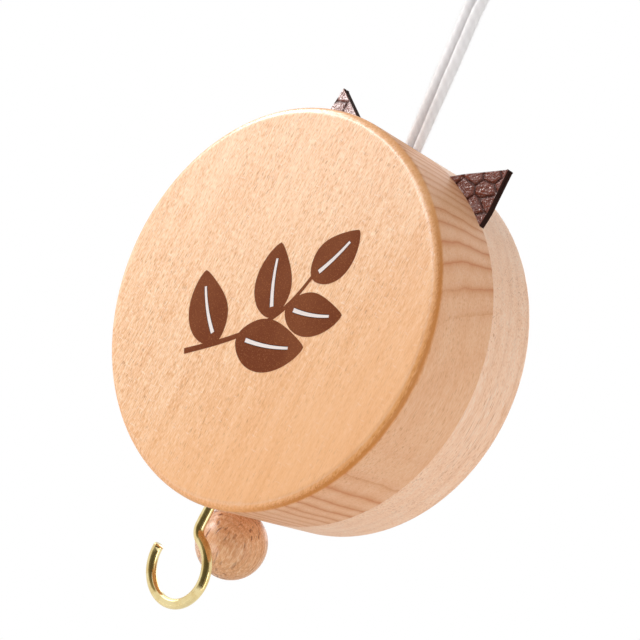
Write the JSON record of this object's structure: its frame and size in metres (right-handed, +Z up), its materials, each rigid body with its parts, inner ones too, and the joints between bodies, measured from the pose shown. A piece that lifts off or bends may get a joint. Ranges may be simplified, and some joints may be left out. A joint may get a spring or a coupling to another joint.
{
  "type": "pull-cord music box",
  "caption": "Round wooden hanging music box with leather ears, a brass screw hook and a pull ball that winds a pinned-cylinder movement.",
  "frame": {"origin": "underside of the hanging loop's crest, where a peg carries it", "axes": "+Z up along the case's upright axis, front face towards -Y, +X to the right seen from the front"},
  "size_m": [0.085, 0.036, 0.1623],
  "materials": {
    "front_wood": "satin",
    "rear_wood": "satin",
    "ball_wood": "satin",
    "ear_leather": "satin",
    "hook_brass": "polished",
    "white_cord": "matte",
    "pull_line": "matte",
    "screw_steel": "satin",
    "frame_steel": "satin",
    "arbor_steel": "polished",
    "cast_base": "matte",
    "gear_brass": "satin",
    "drum_plastic": "matte"
  },
  "bodies": {
    "case": {"front_cover": "front_wood", "rear_housing": "rear_wood", "left_ear_front_ply": "ear_leather", "left_ear_back_ply": "ear_leather", "right_ear_front_ply": "ear_leather", "right_ear_back_ply": "ear_leather", "screw_hook": "hook_brass", "case_screws": "screw_steel", "hanging_cord": "white_cord", "hanging_knot": "white_cord", "cord_bush": "gear_brass", "bedplate": "frame_steel", "bedplate_screws": "screw_steel", "left_cheek": "frame_steel", "right_cheek": "frame_steel", "cheek_screws": "screw_steel", "comb_riser": "cast_base", "comb": "arbor_steel", "comb_screws": "screw_steel", "governor_bracket": "frame_steel", "bracket_screw": "screw_steel", "spring_case": "frame_steel", "mainspring": "arbor_steel"},
    "pull": {"pull_ball": "ball_wood", "pull_cord": "pull_line", "ball_knot": "pull_line"},
    "drum": {"cord_drum": "drum_plastic", "drum_arbor": "arbor_steel", "wound_cord": "pull_line", "clutch_sleeve": "arbor_steel"},
    "great_wheel": {"great_wheel": "gear_brass"},
    "cylinder": {"cylinder": "gear_brass", "cylinder_heads": "gear_brass", "cylinder_arbor": "arbor_steel", "cylinder_gear": "gear_brass"},
    "governor": {"governor_arbor": "arbor_steel", "governor_pinion": "gear_brass", "worm_wheel": "gear_brass"},
    "fan": {"worm_shaft": "arbor_steel", "fan": "drum_plastic"}
  },
  "joints": [
    {"name": "pull_slide", "type": "slide", "parent": "case", "child": "pull", "axis": [0, 0, -1], "range_m": [0, 0.2], "stiffness_N_per_m": 15, "springref_m": -0.06, "deforming": ["pull_cord"]},
    {"name": "drum_turn", "type": "hinge", "parent": "case", "child": "drum", "pos_m": [0.00462, -0.0016, -0.11129], "axis": [-1, 0, 0], "range_deg": [0, 1274]},
    {"name": "cylinder_turn", "type": "hinge", "parent": "case", "child": "cylinder", "pos_m": [0.00462, -0.0016, -0.09209], "axis": [1, 0, 0], "continuous": true},
    {"name": "great_wheel_turn", "type": "hinge", "parent": "case", "child": "great_wheel", "pos_m": [0.00462, -0.0016, -0.11129], "axis": [1, 0, 0], "continuous": true},
    {"name": "governor_turn", "type": "hinge", "parent": "case", "child": "governor", "pos_m": [0.00462, -0.00893, -0.08335], "axis": [1, 0, 0], "continuous": true},
    {"name": "fan_turn", "type": "hinge", "parent": "case", "child": "fan", "pos_m": [0.02162, -0.00243, -0.09229], "axis": [0, 0, 1], "continuous": true}
  ],
  "couplings": [
    {"joint": "drum_turn", "follows": "pull_slide", "rad_per_m": 111.11},
    {"joint": "great_wheel_turn", "follows": "cylinder_turn", "ratio": -0.77778},
    {"joint": "governor_turn", "follows": "cylinder_turn", "ratio": -2.8},
    {"joint": "fan_turn", "follows": "cylinder_turn", "ratio": 28}
  ]
}
